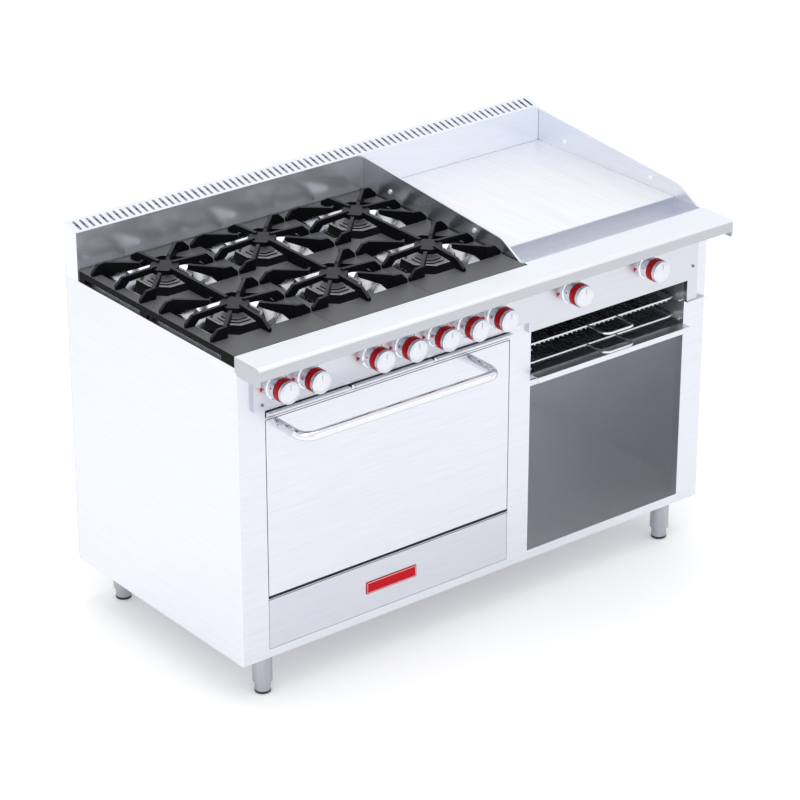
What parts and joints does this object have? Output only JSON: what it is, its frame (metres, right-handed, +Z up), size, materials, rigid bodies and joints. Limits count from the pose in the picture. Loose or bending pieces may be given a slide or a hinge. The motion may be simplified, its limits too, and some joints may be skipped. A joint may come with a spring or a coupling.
{
  "type": "commercial gas range",
  "caption": "Stainless commercial gas range with cast-iron open burners, a griddle, a drop-down oven door, broiler racks, an open cabinet and a slotted backguard.",
  "frame": {"origin": "bottom centre of the whole box: on the floor, midway across the width and midway between the door handle's front and the gas inlet's end", "axes": "+Z up from the floor, +X towards the griddle side, +Y from the front to the back"},
  "size_m": [1.524, 0.8824, 1.068],
  "materials": {
    "stainless": "brushed",
    "galvanised": "galvanised",
    "dark_steel": "satin",
    "cast_iron": "rough",
    "polished_plate": "ground",
    "aluminised": "satin",
    "chrome": "polished",
    "red_knob": "gloss",
    "red_badge": "gloss",
    "brass": "satin",
    "black_pipe": "satin",
    "enamel": "gloss",
    "insulation": "matte",
    "gasket": "woven",
    "foot_black": "satin"
  },
  "bodies": {
    "range_body": {"side_panel_left": "stainless", "side_panel_right": "stainless", "rear_panel": "galvanised", "base_pan": "galvanised", "centre_partition": "galvanised", "front_frame": "stainless", "kick_panel": "stainless", "badge_plate": "red_badge", "control_panel": "stainless", "front_ledge": "stainless", "knob_bezels": "chrome", "gas_valves": "brass", "backguard": "stainless", "griddle_plate": "polished_plate", "grease_trough": "stainless", "griddle_splashes": "stainless", "griddle_burners": "cast_iron", "burner_heads": "cast_iron", "burner_drip_bowls": "aluminised", "burner_mixing_tubes": "cast_iron", "burner_support_rails": "galvanised", "gas_feed_tubes": "aluminised", "gas_manifold": "black_pipe", "oven_liner": "enamel", "oven_floor": "enamel", "oven_burner": "cast_iron", "oven_rack_guides": "chrome", "cabinet_liner": "galvanised", "broiler_side_plates": "galvanised", "leg_sleeves": "stainless", "body_fasteners": "chrome"},
    "oven_door": {"door_outer_shell": "stainless", "door_inner_panel": "enamel", "door_insulation": "insulation", "door_gasket": "gasket", "door_handle": "stainless", "door_hinge_pins": "dark_steel"},
    "grate_left": {"grate_left": "cast_iron"},
    "grate_centre": {"grate_centre": "cast_iron"},
    "grate_right": {"grate_right": "cast_iron"},
    "crumb_tray_left": {"crumb_tray_left": "stainless"},
    "crumb_tray_centre": {"crumb_tray_centre": "stainless"},
    "crumb_tray_right": {"crumb_tray_right": "stainless"},
    "broiler_rack_upper": {"broiler_rack_upper": "chrome"},
    "broiler_rack_lower": {"broiler_rack_lower": "chrome"},
    "broiler_drip_tray": {"broiler_drip_tray": "stainless"},
    "oven_rack": {"oven_rack": "chrome"},
    "foot_front_left": {"foot_front_left": "stainless"},
    "foot_front_right": {"foot_front_right": "stainless"},
    "foot_rear_left": {"foot_rear_left": "stainless"},
    "foot_rear_right": {"foot_rear_right": "stainless"},
    "knob_burner_1": {"knob_burner_1": "red_knob"},
    "knob_burner_2": {"knob_burner_2": "red_knob"},
    "knob_burner_3": {"knob_burner_3": "red_knob"},
    "knob_burner_4": {"knob_burner_4": "red_knob"},
    "knob_burner_5": {"knob_burner_5": "red_knob"},
    "knob_burner_6": {"knob_burner_6": "red_knob"},
    "knob_oven": {"knob_oven": "red_knob"},
    "knob_griddle_left": {"knob_griddle_left": "red_knob"},
    "knob_griddle_right": {"knob_griddle_right": "red_knob"}
  },
  "joints": [
    {"name": "grate_left_slide", "type": "slide", "parent": "range_body", "child": "grate_left", "axis": [0, 0, 1], "range_m": [0, 0.12]},
    {"name": "grate_centre_slide", "type": "slide", "parent": "range_body", "child": "grate_centre", "axis": [0, 0, 1], "range_m": [0, 0.12]},
    {"name": "grate_right_slide", "type": "slide", "parent": "range_body", "child": "grate_right", "axis": [0, 0, 1], "range_m": [0, 0.12]},
    {"name": "oven_door_hinge", "type": "hinge", "parent": "range_body", "child": "oven_door", "pos_m": [-0.2985, -0.30175, 0.301], "axis": [1, 0, 0], "range_deg": [0, 90]},
    {"name": "knob_burner_1_turn", "type": "hinge", "parent": "range_body", "child": "knob_burner_1", "pos_m": [-0.651, -0.35375, 0.853], "axis": [0, -1, 0], "range_deg": [0, 90]},
    {"name": "knob_burner_2_turn", "type": "hinge", "parent": "range_body", "child": "knob_burner_2", "pos_m": [-0.557, -0.35375, 0.853], "axis": [0, -1, 0], "range_deg": [0, 90]},
    {"name": "knob_burner_3_turn", "type": "hinge", "parent": "range_body", "child": "knob_burner_3", "pos_m": [-0.362, -0.35375, 0.853], "axis": [0, -1, 0], "range_deg": [0, 90]},
    {"name": "knob_burner_4_turn", "type": "hinge", "parent": "range_body", "child": "knob_burner_4", "pos_m": [-0.261, -0.35375, 0.853], "axis": [0, -1, 0], "range_deg": [0, 90]},
    {"name": "knob_burner_5_turn", "type": "hinge", "parent": "range_body", "child": "knob_burner_5", "pos_m": [-0.158, -0.35375, 0.853], "axis": [0, -1, 0], "range_deg": [0, 90]},
    {"name": "knob_burner_6_turn", "type": "hinge", "parent": "range_body", "child": "knob_burner_6", "pos_m": [-0.063, -0.35375, 0.853], "axis": [0, -1, 0], "range_deg": [0, 90]},
    {"name": "knob_oven_turn", "type": "hinge", "parent": "range_body", "child": "knob_oven", "pos_m": [0.032, -0.35375, 0.853], "axis": [0, 1, 0], "range_deg": [0, 300]},
    {"name": "knob_griddle_left_turn", "type": "hinge", "parent": "range_body", "child": "knob_griddle_left", "pos_m": [0.28, -0.35375, 0.853], "axis": [0, -1, 0], "range_deg": [0, 90]},
    {"name": "knob_griddle_right_turn", "type": "hinge", "parent": "range_body", "child": "knob_griddle_right", "pos_m": [0.543, -0.35375, 0.853], "axis": [0, -1, 0], "range_deg": [0, 90]},
    {"name": "crumb_tray_left_slide", "type": "slide", "parent": "range_body", "child": "crumb_tray_left", "axis": [0, -1, 0], "range_m": [0, 0.5]},
    {"name": "crumb_tray_centre_slide", "type": "slide", "parent": "range_body", "child": "crumb_tray_centre", "axis": [0, -1, 0], "range_m": [0, 0.5]},
    {"name": "crumb_tray_right_slide", "type": "slide", "parent": "range_body", "child": "crumb_tray_right", "axis": [0, -1, 0], "range_m": [0, 0.5]},
    {"name": "broiler_rack_upper_slide", "type": "slide", "parent": "range_body", "child": "broiler_rack_upper", "axis": [0, -1, 0], "range_m": [0, 0.35]},
    {"name": "broiler_rack_lower_slide", "type": "slide", "parent": "range_body", "child": "broiler_rack_lower", "axis": [0, -1, 0], "range_m": [0, 0.35]},
    {"name": "broiler_drip_tray_slide", "type": "slide", "parent": "range_body", "child": "broiler_drip_tray", "axis": [0, -1, 0], "range_m": [0, 0.42]},
    {"name": "oven_rack_slide", "type": "slide", "parent": "range_body", "child": "oven_rack", "axis": [0, -1, 0], "range_m": [0, 0.018]},
    {"name": "foot_front_left_slide", "type": "slide", "parent": "range_body", "child": "foot_front_left", "axis": [0, 0, -1], "range_m": [0, 0.03]},
    {"name": "foot_front_right_slide", "type": "slide", "parent": "range_body", "child": "foot_front_right", "axis": [0, 0, -1], "range_m": [0, 0.03]},
    {"name": "foot_rear_left_slide", "type": "slide", "parent": "range_body", "child": "foot_rear_left", "axis": [0, 0, -1], "range_m": [0, 0.03]},
    {"name": "foot_rear_right_slide", "type": "slide", "parent": "range_body", "child": "foot_rear_right", "axis": [0, 0, -1], "range_m": [0, 0.03]}
  ]
}
